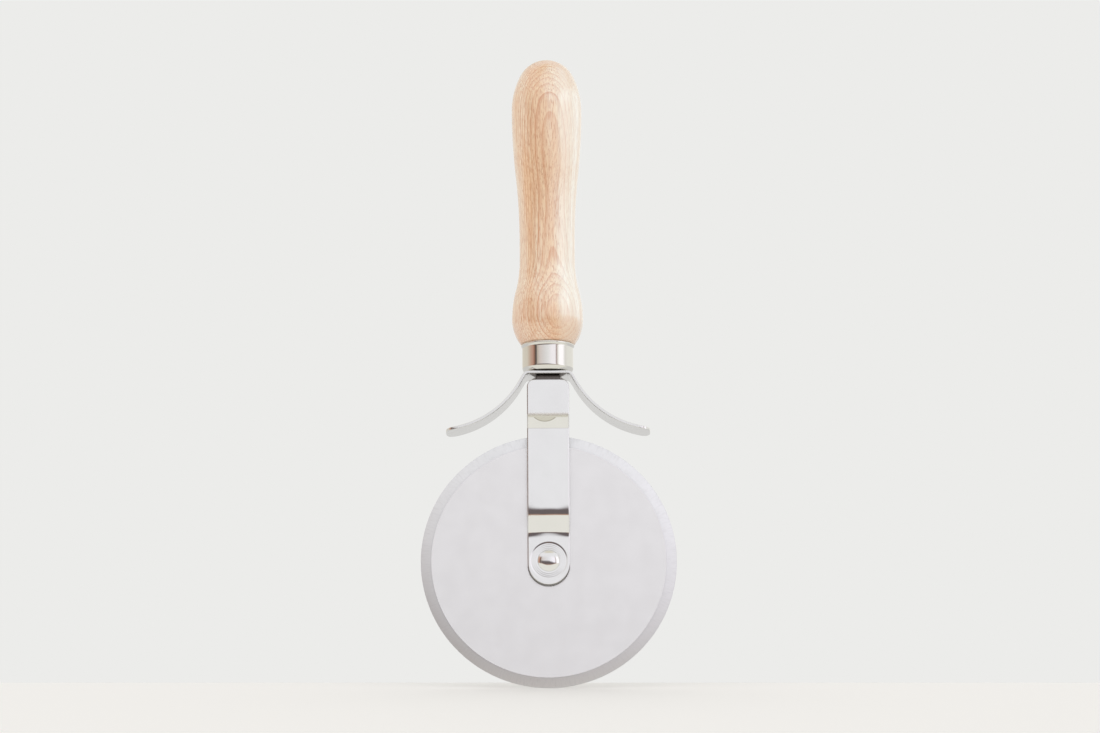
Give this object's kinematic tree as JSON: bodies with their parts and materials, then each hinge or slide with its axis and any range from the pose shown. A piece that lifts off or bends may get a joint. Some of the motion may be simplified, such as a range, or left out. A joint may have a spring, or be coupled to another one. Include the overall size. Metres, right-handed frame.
{
  "type": "pastry cutter wheel",
  "caption": "Hand-held cutter: a round bevelled steel blade turning in a two-legged steel fork, with a winged finger guard, steel ferrule and turned beech handle.",
  "frame": {"origin": "the lowest point of the blade, under the handle's axis, midway between the fork's legs", "axes": "+Z along the handle from the blade to the handle's end, -Y out of the front with the domed rivet head, +X to the right seen from the front"},
  "size_m": [0.1, 0.0278, 0.2515],
  "materials": {
    "beech": "smooth turned, bare or thinly oiled",
    "ferrule_steel": "polished",
    "guard_steel": "tumbled, half bright",
    "fork_steel": "polished",
    "inner_steel": "plain",
    "blade_steel": "fine satin with a ground bevel",
    "rivet_steel": "polished"
  },
  "bodies": {
    "tool": {"handle": "beech", "ferrule": "ferrule_steel", "finger_guard": "guard_steel", "fork": "fork_steel", "tang": "inner_steel", "tang_washer": "inner_steel", "wheel_bush": "inner_steel", "front_washer": "inner_steel", "rear_washer": "inner_steel", "axle_rivet": "rivet_steel", "rivet_cap": "rivet_steel"},
    "wheel": {"blade_wheel": "blade_steel"}
  },
  "joints": [
    {"name": "wheel_spin", "type": "hinge", "parent": "tool", "child": "wheel", "pos_m": [0, 0, 0.05], "axis": [0, 1, 0], "continuous": true}
  ]
}
